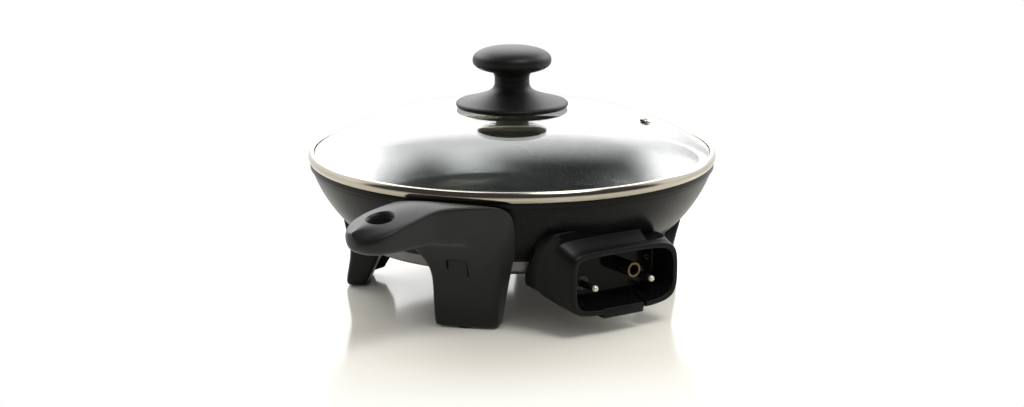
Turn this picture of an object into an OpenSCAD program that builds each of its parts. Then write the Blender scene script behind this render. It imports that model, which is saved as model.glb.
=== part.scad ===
// Electric skillet with a lift-off glass lid, two swept handles and a plug-in socket.
// Lengths are in millimetres. The table is z = 0 and the pan axis is the z axis.
// The socket faces -Y. The left handle sweeps towards -X and the right one towards +X.

/* [Pan] */
// Outer radius of the pan at its rim
rim_r = 143; // [125:0.5:165]
// Height of the pan rim above the table
rim_z = 93; // [86:0.5:110]
// Height of the curved wall
wall_h = 47; // [40:0.5:55]
// Radius of the base ring
base_r = 112; // [100:0.5:125]
// Radius of the outward curve of the wall
wall_curve_r = 95; // [70:1:200]
// Thickness of the wall
wall_t = 3.2; // [2.5:0.1:4.5]
// Height of the base ring below the wall
ring_h = 8; // [8:0.5:12]
// Width of the base ring
ring_w = 16; // [12:0.5:24]
// Rounding of the lower edge of the base ring
ring_round = 3; // [1:0.5:5]
// Rise of the cooking floor above the foot of the wall
floor_rise = 3.5; // [2:0.5:6]
// Thickness of the cooking floor
floor_t = 5.5; // [4:0.5:7]
// Size of the inside round between floor and wall
floor_round = 14; // [8:0.5:20]

/* [Heating element] */
// Radius of the element ring
element_r = 78; // [60:0.5:88]
// Radius of the element tube
tube_r = 3.2; // [2.5:0.1:4]
// Radius of the round elbow where the ring meets each tail
elbow_r = 4.2; // [3.8:0.1:4.6]
// Drop of the element and pins below the base ring
pin_drop = 6.4; // [6:0.1:8]
// Width of the cast ridge that carries the element
ridge_w = 12; // [9:0.5:16]
// Thickness of the web between the ridge and the base ring
web_t = 2; // [1.5:0.5:3]

/* [Socket] */
// Distance from the axis to each terminal pin
pin_x = 23; // [16:0.5:26]
// Radius of a terminal pin
pin_r = 2.3; // [1.8:0.1:2.8]
// Radius of the pin shank inside its insulator
pin_shank_r = 2; // [1.6:0.1:2.1]
// Chamfer at the tip of a pin
pin_chamfer = 0.8; // [0.5:0.1:1.2]
// Free length of a terminal pin beyond its insulator
pin_free = 17; // [12:0.5:20]
// Radius of the insulator body
insulator_r = 4.6; // [4:0.1:5.5]
// Radius of the insulator flange
insulator_flange_r = 5.8; // [5.5:0.1:7]
// Thickness of the insulator flange
insulator_flange = 3; // [3:0.5:5]
// Depth of the insulator in the boss
insulator_depth = 6; // [4:0.5:8]
// Sideways place of the probe well
probe_x = 8; // [0:0.5:9]
// Rise of the probe well above the pins
probe_rise = 8.5; // [8:0.1:8.8]
// Outer radius of the probe well
probe_r = 5; // [4.5:0.1:5.4]
// Radius of the bore for the probe
probe_bore_r = 3.6; // [3:0.1:4]
// Length of the probe well
probe_len = 39; // [30:0.5:40]
// Thickness of the closed end of the probe well
probe_end = 2; // [1:0.5:4]
// Depth of the probe well in the boss
probe_depth = 20; // [12:0.5:21]
// Half width of the terminal boss
boss_half_w = 34; // [33:0.5:35]
// Chamfer on the lower corners of the terminal boss
boss_chamfer = 6; // [5:0.5:7]
// Distance of the boss face outside the base ring
boss_out = 6; // [4:0.5:8]
// Depth of the terminal boss
boss_depth = 21; // [18:0.5:26]
// Height of the boss below the pins
boss_drop = 7; // [6:0.5:8]

/* [Shroud] */
// Distance of the shroud mouth outside the base ring
shroud_out = 30; // [26:0.5:36]
// Half width of the mouth
mouth_half_w = 43; // [40:0.5:46]
// Sideways place of the mouth
mouth_x = -2; // [-4:0.5:0]
// Half height of the mouth
mouth_half_h = 22; // [20:0.5:24]
// Rise of the mouth centre above the pins
mouth_rise = 4.5; // [3:0.5:6]
// Wall thickness of the shroud
shroud_t = 4; // [3:0.25:5]
// Growth in half width from the mouth to the root
root_grow_w = 4.5; // [2:0.5:6]
// Sideways shift of the root
root_shift = -7.5; // [-9:0.5:-4]
// Growth in height of the upper edge at the root
root_rise = 12; // [8:0.5:14]
// Rise of the lower edge at the root
root_lift = 12; // [8:0.5:13]
// Sideways place where the root collar ends
collar_end_x = 19; // [15:0.5:30]
// Thickness of the back plate behind the pins
plate_t = 2.5; // [2:0.25:3]
// Squareness of the mouth outline
mouth_power = 3.1; // [2.5:0.1:4]
// Depth of the catch lip under the mouth
catch_depth = 14; // [8:0.5:20]
// Half width of the catch lip
catch_half_w = 16.5; // [12:0.5:20]
// Sideways place of the catch lip
catch_x = -3.5; // [-6:0.5:0]
// Drop of the catch lip below the mouth
catch_drop = 2.5; // [1.5:0.5:3.5]
// Width of the slit beside the catch lip
slit_w = 2; // [1.5:0.25:3]
// Distance from the axis to each shroud screw
shroud_screw_x = 30; // [27:0.5:32]
// Rise of the shroud screws above the pins
shroud_screw_rise = 11.5; // [11:0.5:13]

/* [Handles and legs] */
// Sweep of the handle away from its leg, in degrees
handle_sweep = 35; // [20:1:45]
// Length of the handle beyond the collar
handle_len = 62; // [50:0.5:75]
// Half width of the handle
handle_half_w = 20; // [17:0.5:23]
// Distance of the handle root outside the rim
root_out = 4; // [2:0.5:6]
// Sideways place of the handle root
root_side = -26; // [-30:0.5:-22]
// Droop of the handle at its tip
handle_droop = 15.5; // [12:0.5:20]
// Thickness of the handle at its root
handle_t = 25; // [22:0.5:28]
// Height of the collar above the rim
collar_rise = 2; // [1:0.5:4]
// Radius of the hanging hole
hang_r = 9; // [7:0.25:10]
// Distance of the hanging hole from the tip
hang_inset = 24; // [20:0.5:28]
// Half width of a leg at the table
leg_half_w = 20.5; // [17:0.5:24]
// Thickness of a leg at the table
leg_t = 16; // [13:0.5:20]
// Outer face of a leg at the table, outside the base ring
leg_out = 6; // [4:0.5:8]
// Thickness of the tab under the base ring
tab_t = 8; // [6:0.5:10]
// Half width of the tab under the base ring
tab_half_w = 15; // [14:0.5:17]
// Turn of the plain legs about the pan axis, in degrees
plain_turn = 142; // [130:1:150]
// Sideways place of the screw recess
recess_y = -11; // [-13:0.5:-9]
// Width of the screw recess
recess_w = 15; // [12:0.5:17]
// Height of the screw recess
recess_h = 13; // [11:0.5:15]
// Slope of the roof of the screw recess, in degrees
recess_tilt = 14; // [8:1:20]
// Sideways place of the upright tab screw
tab_screw_y = 8; // [6:0.5:9]

/* [Feet] */
// Radius of a rubber foot pad
pad_r = 6; // [5:0.25:7]
// Height of a foot pad below its leg
pad_h = 1; // [0.8:0.1:3]
// Radius of the stem of a foot pad
stem_r = 2.6; // [2:0.1:3.5]
// Length of the stem of a foot pad
stem_h = 6; // [4:0.5:9]
// Sideways place of the foot pad under a handle leg
handle_foot_y = -8; // [-12:0.5:-4]

/* [Lid] */
// Overhang of the lid band beyond the rim
band_over = 1; // [0.5:0.25:2]
// Height of the lid band
band_h = 7.2; // [6.8:0.1:8]
// Thickness of the band sheet
band_t = 0.8; // [0.6:0.05:1]
// Depth of the locating skirt below the rim
band_skirt = 9; // [6:0.5:12]
// Distance of the locating skirt inside the rim
skirt_in = 11; // [10:0.25:13]
// Rise of the glass dome above its edge
dome_h = 32.2; // [28:0.2:36]
// Fullness of the dome: 2 is a plain bowl, more has a flatter top and steeper sides
dome_power = 3; // [2:0.1:3.5]
// Thickness of the glass
glass_t = 3.5; // [3:0.1:3.6]
// Distance of the glass edge inside the band
glass_in = 2; // [1.6:0.1:2.4]
// Height of the upper glass edge above the rim
glass_edge = 5; // [4.8:0.1:5.2]
// Radius of the hole for the knob screw
glass_hole_r = 5; // [4:0.25:6]
// Distance of the steam vent from the axis
vent_r = 94; // [80:0.5:110]
// Direction of the steam vent, in degrees from +X
vent_turn = -39.4; // [-60:0.2:30]
// Radius of the vent flange
vent_flange_r = 4.2; // [3.8:0.1:5]
// Radius of the vent tube
vent_tube_r = 2.9; // [2.6:0.1:3.2]
// Radius of the vent bore
vent_bore_r = 1.9; // [1.5:0.1:2.2]

/* [Knob] */
// Radius of the knob skirt
guard_r = 39.8; // [34:0.2:44]
// Thickness of the skirt edge
guard_edge = 3.8; // [3:0.1:4.2]
// Gap between the skirt edge and the glass
guard_gap = 0.4; // [0.3:0.05:0.8]
// Height of the knob skirt
guard_h = 18; // [15:0.5:20]
// Radius of the neck
neck_r = 11.7; // [10.5:0.1:13]
// Radius of the knob cap
cap_r = 27.8; // [24:0.2:31]
// Height of the knob cap with its neck
cap_h = 24.1; // [22:0.1:28]
// Height of the neck below the cap
neck_h = 4; // [3:0.25:6]
// Radius of the knob screw
knob_screw_r = 2.4; // [2:0.1:3]
// Radius of the threaded insert
insert_r = 4.5; // [4:0.1:6]
// Length of the threaded insert
insert_h = 13; // [10:0.5:15]
// Radius of the gaskets
gasket_r = 12; // [10:0.5:14]
// Thickness of the gaskets
gasket_t = 1.2; // [1:0.1:1.6]
// Radius of the washer
washer_r = 10; // [8:0.5:11]
// Thickness of the washer
washer_t = 1.2; // [1:0.1:1.6]

/* [Fasteners] */
// Radius of the small screws
screw_r = 1.7; // [1.5:0.1:2]
// Radius of a small screw head
screw_head_r = 3.4; // [3:0.1:3.8]
// Height of a small screw head
screw_head_h = 2.2; // [1.8:0.1:2.6]
// Length of the small screws in the heater base
screw_bite = 7; // [5:0.5:7]
// Width of the slot in a small screw head
screw_slot = 0.8; // [0.6:0.1:1.2]

/* [Fits] */
// Seat clearance between plain faces
seat = 0.1; // [0.05:0.05:0.2]
// Clearance round pins and shafts
play = 0.2; // [0.1:0.05:0.3]
// Clearance between the mouldings and the pan wall
wall_gap = 0.3; // [0.2:0.05:0.4]

/* [Hidden] */
$fn = 96;
wall_foot_z = rim_z - wall_h;
ring_z = wall_foot_z - ring_h;
floor_z = wall_foot_z + floor_rise;
under_z = floor_z - floor_t;
pin_z = ring_z - pin_drop;
probe_z = pin_z + probe_rise;
boss_y = base_r + boss_out;
plate_y = boss_y + plate_t;
mouth_y = base_r + shroud_out;
mouth_z = pin_z + mouth_rise;
root_y = base_r - 14;
pin_back_y = boss_y - insulator_depth;
band_r = rim_r + band_over;
skirt_r = rim_r - skirt_in;
glass_r = band_r - glass_in;
glass_top = rim_z + glass_edge + dome_h;
glass_under = glass_top - glass_t;
gasket_z = glass_top + seat;
guard_z = gasket_z + gasket_t;
cap_z = guard_z + guard_h;
leg_z = pad_h;
leg_face = base_r + leg_out;
tab_r = base_r - ring_w + 2;
tab_screw_x = base_r - 9;
recess_z = ring_z + ring_h / 2 + 0.5;
recess_x = base_r + 6;
keep_r = band_r + 1;
vent_tilt = atan(dome_power * dome_h / glass_r * pow(vent_r / glass_r, dome_power - 1));
handle_turns = [45, 225];
leg_turns = concat(handle_turns, [plain_turn, plain_turn + 180]);

// Curve helpers
function mix(a, b, f) = a + (b - a) * f;

// Points of a round arc from p to q with radius r, bulging to the right of p to q
function arc(p, q, r, n) =
    let (m = (p + q) / 2,
         d = q - p,
         half = norm(d) / 2,
         side = [-d.y, d.x] / norm(d),
         c = m + side * sqrt(r * r - half * half),
         a0 = atan2(p.y - c.y, p.x - c.x),
         turn = 2 * asin(half / r))
    [for (i = [0 : n]) c + r * [cos(a0 + turn * i / n), sin(a0 + turn * i / n)]];

// Points of a bend from p to q that is drawn towards k
function bend(p, k, q, n) =
    [for (i = [0 : n]) let (f = i / n) mix(mix(p, k, f), mix(k, q, f), f)];

// Smooth step between the second and third of four stations
function glide(a, b, c, d, f) =
    0.5 * (2 * b + (c - a) * f + (2 * a - 5 * b + 4 * c - d) * f * f
           + (3 * b - a - 3 * c + d) * f * f * f);

// All stations with extra smooth ones between them
function smooth(s, n) =
    let (e = len(s) - 1)
    [for (i = [0 : e - 1]) for (j = [0 : n - 1])
        glide(s[max(i - 1, 0)], s[i], s[i + 1], s[min(i + 2, e)], j / n), s[e]];

// One point of a rounded square outline
function squircle(a, power) =
    [sign(cos(a)) * pow(abs(cos(a)), 2 / power), sign(sin(a)) * pow(abs(sin(a)), 2 / power)];

// Ring of points between four corner rails, with the upper side crowned
function rail_ring(s, power, n) =
    [for (i = [0 : n - 1])
        let (q = squircle(360 * i / n, power),
             u = (q.x + 1) / 2,
             v = (q.y + 1) / 2,
             crown = s[4][0] * (1 - q.x * q.x) * max(q.y, 0))
        mix(mix(s[3], s[2], u), mix(s[0], s[1], u), v) + [0, 0, crown]];

function centre(ring) = [for (p = ring) 1] * ring / len(ring);

// Solid skin over a row of rings that all have the same count of points
module skin(rings) {
    k = len(rings);
    n = len(rings[0]);
    points = concat([for (r = rings) for (p = r) p], [centre(rings[0]), centre(rings[k - 1])]);
    sides = [for (i = [0 : k - 2]) for (j = [0 : n - 1])
        let (a = i * n + j, b = i * n + (j + 1) % n)
        for (t = [[a, b, a + n], [b, b + n, a + n]]) t];
    first = [for (j = [0 : n - 1]) [k * n, (j + 1) % n, j]];
    last = [for (j = [0 : n - 1]) [k * n + 1, (k - 1) * n + j, (k - 1) * n + (j + 1) % n]];
    polyhedron(points, concat(sides, first, last), convexity = 8);
}

// Pan
function wall_outside(gap) =
    arc([base_r + gap, wall_foot_z - gap], [rim_r + gap, rim_z], wall_curve_r, 12);

module pan_outside() {
    rotate_extrude()
    polygon(concat(
        [[0, floor_z], [0, under_z], [base_r - ring_w - seat, under_z], [base_r - ring_w - seat, wall_foot_z]],
        wall_outside(0),
        [[rim_r - wall_t, rim_z]]));
}

module pan_inside() {
    inner = [for (p = wall_outside(0)) p - [wall_t, 0]];
    high = [for (p = inner) if (p.y > floor_z + floor_round * 0.6) p];
    rotate_extrude()
    polygon(concat(
        [[0, floor_z]],
        bend([base_r - wall_t - floor_round, floor_z], [base_r - wall_t + 1.5, floor_z], high[0], 8),
        [for (i = [1 : len(high) - 1]) high[i]],
        [[rim_r - wall_t, rim_z + 1], [0, rim_z + 1]]));
}

module pan() {
    color([0.16, 0.16, 0.17])
    difference() {
        pan_outside();
        pan_inside();
    }
}

// Heater base under the pan: ring, web, element ridge and terminal boss in one casting
module pan_room() {
    rotate_extrude()
    polygon(concat(
        [[0, under_z - seat], [base_r - ring_w, under_z - seat], [base_r - ring_w, wall_foot_z - seat]],
        wall_outside(seat),
        [[0, rim_z]]));
}

module base_ring() {
    inner = base_r - ring_w;
    top = under_z - seat;
    rotate_extrude()
    polygon(concat(
        [[element_r, top - web_t], [inner, top - web_t], [inner, ring_z]],
        arc([base_r - ring_round, ring_z], [base_r, ring_z + ring_round], ring_round, 5),
        [[base_r, wall_foot_z - seat], [inner, wall_foot_z - seat], [inner, top], [element_r, top]]));
}

module terminal_boss(grow) {
    half = boss_half_w + grow;
    low = pin_z - boss_drop - grow;
    top = wall_foot_z - seat + grow;
    translate([0, boss_depth - boss_y, 0])
    rotate([90, 0, 0])
    linear_extrude(boss_depth)
    polygon([[boss_chamfer - half, low], [half - boss_chamfer, low], [half, low + boss_chamfer],
             [half, top], [-half, top], [-half, low + boss_chamfer]]);
}

module element_ridge() {
    rotate_extrude()
    translate([element_r - ridge_w / 2, pin_z])
    square([ridge_w, under_z - seat - pin_z]);
}

module along_y(x, y, z) {
    translate([x, y, z])
    rotate([90, 0, 0])
    children();
}

// Seats of the element, its tails, the insulators, the probe well and the screws
module base_seats() {
    rotate_extrude()
    translate([element_r, pin_z])
    circle(tube_r + play);
    for (side = [-1, 1]) {
        element_tail(side, play);
        along_y(side * pin_x, -pin_back_y, pin_z)
        cylinder(r = insulator_r + play, h = insulator_depth + 1);
        along_y(side * shroud_screw_x, -boss_y + screw_bite + play, pin_z + shroud_screw_rise)
        cylinder(r = screw_r + seat, h = screw_bite + 1);
    }
    along_y(probe_x, -boss_y + probe_depth + play, probe_z)
    cylinder(r = probe_r + play, h = probe_depth + 1);
    for (turn = handle_turns)
        rotate(turn)
        translate([base_r - screw_bite - play, recess_y, recess_z])
        rotate([0, 90, 0])
        cylinder(r = screw_r + seat, h = screw_bite + 10);
    for (turn = leg_turns)
        rotate(turn)
        translate([tab_screw_x, tab_screw_y, ring_z - 1])
        cylinder(r = screw_r + seat, h = screw_bite + 1 + play);
}

module heater_base() {
    color([0.45, 0.45, 0.46])
    difference() {
        union() {
            base_ring();
            terminal_boss(0);
            element_ridge();
        }
        pan_room();
        base_seats();
    }
}

// Heating element, one open ring with an elbow and a straight tail on each side
elbow_y = sqrt(element_r * element_r - pin_x * pin_x);
elbow_turn = atan2(pin_x, elbow_y);

module element_tail(side, grow) {
    translate([side * pin_x, -elbow_y, pin_z])
    sphere(r = elbow_r + grow);
    along_y(side * pin_x, -elbow_y, pin_z)
    cylinder(r = tube_r + grow, h = pin_back_y - elbow_y);
}

module heating_element() {
    color([0.45, 0.42, 0.4])
    union() {
        translate([0, 0, pin_z])
        rotate(270 + elbow_turn)
        rotate_extrude(angle = 360 - 2 * elbow_turn)
        translate([element_r, 0])
        circle(tube_r);
        element_tail(1, 0);
        element_tail(-1, 0);
    }
}

// Terminals
module terminal_pin(side) {
    shank = insulator_depth + insulator_flange + seat;
    color([0.85, 0.82, 0.72])
    along_y(side * pin_x, -pin_back_y, pin_z) {
        cylinder(r = pin_shank_r, h = shank);
        translate([0, 0, shank])
        cylinder(r = pin_r, h = pin_free - pin_chamfer);
        translate([0, 0, shank + pin_free - pin_chamfer])
        cylinder(r1 = pin_r, r2 = pin_r - pin_chamfer, h = pin_chamfer);
    }
}

module insulator(side) {
    color([0.93, 0.9, 0.84])
    along_y(side * pin_x, -pin_back_y, pin_z)
    difference() {
        union() {
            cylinder(r = insulator_r, h = insulator_depth);
            translate([0, 0, insulator_depth])
            cylinder(r = insulator_flange_r, h = insulator_flange);
        }
        translate([0, 0, -1])
        cylinder(r = pin_shank_r + seat, h = insulator_depth + insulator_flange + 2);
    }
}

module probe_well() {
    color([0.72, 0.55, 0.3])
    along_y(probe_x, -boss_y + probe_depth, probe_z)
    difference() {
        cylinder(r = probe_r, h = probe_len);
        translate([0, 0, probe_end])
        cylinder(r = probe_bore_r, h = probe_len);
    }
}

// Shroud outline at one depth, from the pan (f = 0) to the mouth (f = 1)
function shroud_ring(y_top, y_low, f, shrink, n) =
    let (half_w = mouth_half_w + root_grow_w * (1 - f) - shrink,
         top = mouth_z + mouth_half_h + root_rise * (1 - f) - shrink,
         low = mouth_z - mouth_half_h + root_lift * (1 - f) + shrink)
    [for (i = [0 : n - 1])
        let (q = squircle(-360 * i / n, mouth_power), v = (q.y + 1) / 2)
        [half_w * q.x + mouth_x + root_shift * (1 - f), -mix(y_low, y_top, v), mix(low, top, v)]];

module pan_keep_out() {
    rotate_extrude()
    polygon(concat(
        [[0, ring_z], [base_r + wall_gap, ring_z]],
        wall_outside(wall_gap),
        [[rim_r + wall_gap, rim_z - 2], [keep_r, rim_z - 1], [keep_r, rim_z + 40], [0, rim_z + 40]]));
}

module socket_shroud() {
    points = 44;
    collar = [root_y + 33, root_y + 12];
    color([0.1, 0.1, 0.1])
    difference() {
        union() {
            skin([shroud_ring(root_y + 24, root_y, 0, 0, points),
                  shroud_ring(collar[0] - 2, collar[1], 0.1, 0, points),
                  shroud_ring(collar[0], collar[1] + 1, 0.4, 0, points),
                  shroud_ring(mouth_y - 1, mouth_y - 1, 1, 0, points),
                  shroud_ring(mouth_y, mouth_y, 1, 0.8, points)]);
            translate([catch_x - catch_half_w, -mouth_y, mouth_z - mouth_half_h - catch_drop])
            cube([2 * catch_half_w, catch_depth, shroud_t + catch_drop]);
        }
        skin([shroud_ring(plate_y, plate_y, 0.6, shroud_t, points),
              shroud_ring(mouth_y + 1, mouth_y + 1, 1, shroud_t, points)]);
        skin([shroud_ring(root_y - 9, root_y - 9, -0.1, shroud_t, points),
              shroud_ring(boss_y, boss_y, 0.45, shroud_t, points)]);
        pan_keep_out();
        terminal_boss(wall_gap);
        translate([collar_end_x, -collar[0] - 1, mouth_z + mouth_half_h + 2])
        cube([40, 40, 40]);
        translate([catch_x + catch_half_w, -mouth_y - 1, mouth_z - mouth_half_h - 6])
        cube([slit_w, catch_depth + 1, 12]);
        for (side = [-1, 1]) {
            along_y(side * pin_x, -boss_y + 1, pin_z)
            cylinder(r = insulator_flange_r + play, h = plate_t + 2);
            along_y(side * shroud_screw_x, -boss_y + 1, pin_z + shroud_screw_rise)
            cylinder(r = screw_r + play, h = plate_t + 2);
        }
        along_y(probe_x, -boss_y + 1, probe_z)
        cylinder(r = probe_r + play, h = plate_t + 2);
    }
}

// Small screw along +Z with the underside of its head at z = 0
module screw(length) {
    translate([0, 0, -length])
    cylinder(r = screw_r, h = length);
    difference() {
        cylinder(r = screw_head_r, h = screw_head_h);
        translate([-screw_head_r, -screw_slot / 2, screw_head_h / 2])
        cube([2 * screw_head_r, screw_slot, screw_head_h]);
    }
}

module shroud_screws() {
    color([0.6, 0.6, 0.62])
    for (side = [-1, 1])
        along_y(side * shroud_screw_x, -plate_y, pin_z + shroud_screw_rise)
        screw(plate_t + screw_bite);
}

// Handle in its own frame: +X points out along the leg, +Y to the right seen from outside
handle_way = [cos(handle_sweep), -sin(handle_sweep)];
handle_right = [sin(handle_sweep), cos(handle_sweep)];
handle_root = [rim_r + root_out, root_side];
handle_top = rim_z + collar_rise;
hang_at = handle_root + (handle_len - hang_inset) * handle_way;

// Corner rails of the free handle at a distance t from its root
function handle_station(t) =
    let (bow = handle_len - handle_half_w,
         half = t > bow ? sqrt(pow(handle_half_w, 2) - pow(t - bow, 2)) + 0.8
                        : handle_half_w + 2 * (bow - t) / bow,
         c = handle_root + t * handle_way,
         top = handle_top - handle_droop * pow(t / handle_len, 2),
         tip = max(t - bow, 0) / handle_half_w,
         low = handle_top - handle_t - 5 * t / handle_len + 6 * tip * tip,
         right = c + half * handle_right,
         left = c - half * handle_right,
         low_right = c + (half * 0.86) * handle_right,
         low_left = c - (half * 0.86) * handle_right)
    [[left.x, left.y, top - 3 + t / handle_len], [right.x, right.y, top - 7 + 3.5 * t / handle_len],
     [low_right.x, low_right.y, low], [low_left.x, low_left.y, low], [4.5, 0, 0]];

// Corner rails of the shoulder and leg, from the handle root down to the table
// Each row is inner left, inner right, outer right, outer left and crown
function leg_stations() =
    let (r = rim_r, b = base_r, z = rim_z, k = ring_z, w = leg_half_w, x = leg_face)
    [[[r - 5, -50, z + 2], [r + 13, 5, z], [r + 12, -6, z - 23], [r - 2, -46, z - 23], [2, 0, 0]],
     [[r - 7, -50, z], [r + 6, 21, z + 2], [r + 4, 1, z - 26], [r - 4, -44, z - 26], [1, 0, 0]],
     [[r - 8, -49, z - 4], [r + 3, 31, z], [r - 2, 6, z - 30], [r - 7, -42, z - 30], [0, 0, 0]],
     [[r - 12, -48, z - 12], [r - 3, 34, z - 8],
      [b + 24, 9, z - 34], [b + 20, -39, z - 34], [0, 0, 0]],
     [[r - 19, -44, z - 24], [r - 13, 33, z - 22],
      [b + 19, 11, z - 39], [b + 17, -36, z - 39], [0, 0, 0]],
     [[b + 5, -38, k + 17], [b + 7, 30, k + 17],
      [b + 14, 13, k + 10], [b + 13, -33, k + 10], [0, 0, 0]],
     [[b - 4, -30, k + 5], [b - 4, 25, k + 5], [b + 8, 14, k], [b + 8, -29, k], [0, 0, 0]],
     [[x - leg_t + 1, -w - 9, 20], [x - leg_t + 1, w - 1, 20],
      [x - 1, w - 6, 19], [x - 1, -w - 9, 19], [0, 0, 0]],
     [[x - leg_t, -w - 8, leg_z + 4], [x - leg_t, w - 4, leg_z + 4],
      [x, w - 5, leg_z + 4], [x, -w - 8, leg_z + 4], [0, 0, 0]],
     [[x - leg_t + 2, -w - 5, leg_z], [x - leg_t + 2, w - 7, leg_z],
      [x - 2, w - 8, leg_z], [x - 2, -w - 5, leg_z], [0, 0, 0]]];

handle_steps = [handle_len, handle_len - 1, handle_len - 4, handle_len - 10, handle_len - 20,
                handle_len - 32, handle_len - 45, handle_len - 56];

// Fixings that every leg has: the tab, its screw hole with a shaft for the driver, and the foot hole
module leg_fixings(foot_y) {
    difference() {
        union() {
            children();
            translate([tab_r, -tab_half_w, ring_z - tab_t])
            cube([leg_face - tab_r - 6, 2 * tab_half_w, tab_t]);
        }
        pan_keep_out();
        translate([tab_screw_x, tab_screw_y, ring_z - tab_t - 1])
        cylinder(r = screw_r + play, h = tab_t + 2);
        translate([tab_screw_x, tab_screw_y, -1])
        cylinder(r = screw_head_r + play, h = ring_z - tab_t + 1);
        translate([leg_face - leg_t / 2, foot_y, leg_z - 1])
        cylinder(r = stem_r + seat, h = stem_h + 1 + seat);
    }
}

// Recess in a handle leg and the hole of the screw in it
module handle_recess() {
    translate([recess_x, recess_y - recess_w / 2, recess_z + recess_h / 2])
    rotate([0, recess_tilt, 0])
    translate([0, 0, -recess_h])
    cube([30, recess_w, recess_h]);
    translate([recess_x, recess_y, recess_z])
    rotate([0, 90, 0])
    cylinder(r = screw_head_r + play, h = 20);
    translate([base_r - 12, recess_y, recess_z])
    rotate([0, 90, 0])
    cylinder(r = screw_r + play, h = 30);
}

module handle_body() {
    stations = concat([for (t = handle_steps) handle_station(t)], leg_stations());
    rings = [for (s = smooth(stations, 2)) rail_ring(s, 4.6, 28)];
    color([0.12, 0.12, 0.12])
    difference() {
        leg_fixings(handle_foot_y)
        skin(rings);
        handle_recess();
        translate([hang_at.x, hang_at.y, rim_z - 50])
        cylinder(r = hang_r, h = 80);
    }
}

// Plain leg in the same frame
function plain_stations() =
    let (b = base_r, k = ring_z, w = leg_half_w, x = leg_face)
    [[[b + 4, -10, k + 21], [b + 4, 10, k + 21],
     [b + 8, 10, k + 20], [b + 8, -10, k + 20], [0, 0, 0]],
     [[b + 2, 3 - w, k + 18], [b + 2, w - 3, k + 18],
      [b + 9, w - 5, k + 16], [b + 9, 5 - w, k + 16], [0, 0, 0]],
     [[b - 1, -w - 2, k + 12], [b - 1, w + 2, k + 12],
      [b + 6.5, w, k + 9], [b + 6.5, -w, k + 9], [0, 0, 0]],
     [[b - 4, -w - 4, k + 5], [b - 4, w + 4, k + 5],
      [b + 4.5, w + 2, k], [b + 4.5, -w - 2, k], [0, 0, 0]],
     [[x - leg_t - 1, -w - 2, 20], [x - leg_t - 1, w + 2, 20],
      [x - 2, w + 1, 19], [x - 2, -w - 1, 19], [0, 0, 0]],
     [[x - leg_t, -w, leg_z + 4], [x - leg_t, w, leg_z + 4],
      [x, w, leg_z + 4], [x, -w, leg_z + 4], [0, 0, 0]],
     [[x - leg_t + 2, 3 - w, leg_z], [x - leg_t + 2, w - 3, leg_z],
      [x - 2, w - 3, leg_z], [x - 2, 3 - w, leg_z], [0, 0, 0]]];

module leg_body() {
    rings = [for (s = smooth(plain_stations(), 3)) rail_ring(s, 4.6, 28)];
    color([0.12, 0.12, 0.12])
    leg_fixings(0)
    skin(rings);
}

module left_handle() {
    rotate(handle_turns[1])
    handle_body();
}

module right_handle() {
    rotate(handle_turns[0])
    handle_body();
}

module rear_left_leg() {
    rotate(plain_turn)
    leg_body();
}

module front_right_leg() {
    rotate(plain_turn + 180)
    leg_body();
}

module handle_screws() {
    color([0.6, 0.6, 0.62])
    for (turn = handle_turns)
        rotate(turn)
        translate([recess_x, recess_y, recess_z])
        rotate([0, 90, 0])
        screw(recess_x - base_r + screw_bite);
}

module tab_screws() {
    color([0.6, 0.6, 0.62])
    for (turn = leg_turns)
        rotate(turn)
        translate([tab_screw_x, tab_screw_y, ring_z - tab_t])
        rotate([180, 0, 0])
        screw(tab_t + screw_bite);
}

// Rubber foot pad under a leg
module foot_pad(turn, foot_y) {
    color([0.08, 0.08, 0.08])
    rotate(turn)
    translate([leg_face - leg_t / 2, foot_y, 0]) {
        cylinder(r = pad_r, h = pad_h);
        cylinder(r = stem_r, h = pad_h + stem_h);
    }
}

module front_left_foot() {
    foot_pad(handle_turns[1], handle_foot_y);
}

module rear_right_foot() {
    foot_pad(handle_turns[0], handle_foot_y);
}

module rear_left_foot() {
    foot_pad(plain_turn, 0);
}

module front_right_foot() {
    foot_pad(plain_turn + 180, 0);
}

// Lid
// Height of the upper face of the glass at a distance from the axis
function glass_z(r) = glass_top - dome_h * pow(r / glass_r, dome_power);

function glass_face(from, to, depth, n) =
    [for (i = [0 : n]) let (r = mix(from, to, i / n)) [r, glass_z(r) - depth]];

module along_vent(depth) {
    rotate(vent_turn)
    translate([vent_r, 0, glass_z(vent_r)])
    rotate([0, vent_tilt, 0])
    translate([0, 0, -depth])
    children();
}

module lid_glass() {
    color([0.8, 0.9, 0.9, 0.4])
    difference() {
        rotate_extrude()
        polygon(concat(
            glass_face(glass_hole_r, glass_r, 0, 20),
            glass_face(glass_r, glass_hole_r, glass_t, 20)));
        along_vent(glass_t + 5)
        cylinder(r = vent_tube_r + play, h = 20);
    }
}

module lid_band() {
    foot = rim_z;
    top = rim_z + band_h;
    color([0.8, 0.8, 0.78])
    rotate_extrude()
    polygon(concat(
        [[skirt_r - band_t, foot - band_skirt], [skirt_r, foot - band_skirt], [skirt_r, foot]],
        arc([band_r - 1.2, foot], [band_r - 1.4, top - 0.3], 5.2, 10),
        [[band_r - 3.7, top], [band_r - 3.7, top - band_t]],
        [for (i = [0 : 8]) arc([band_r - 1.6 - band_t * 0.4, foot + band_t],
                               [band_r - 1.8 - band_t * 0.4, top - 0.3 - band_t], 4.6, 8)[8 - i]],
        [[skirt_r - band_t, foot + band_t]]));
}

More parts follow.
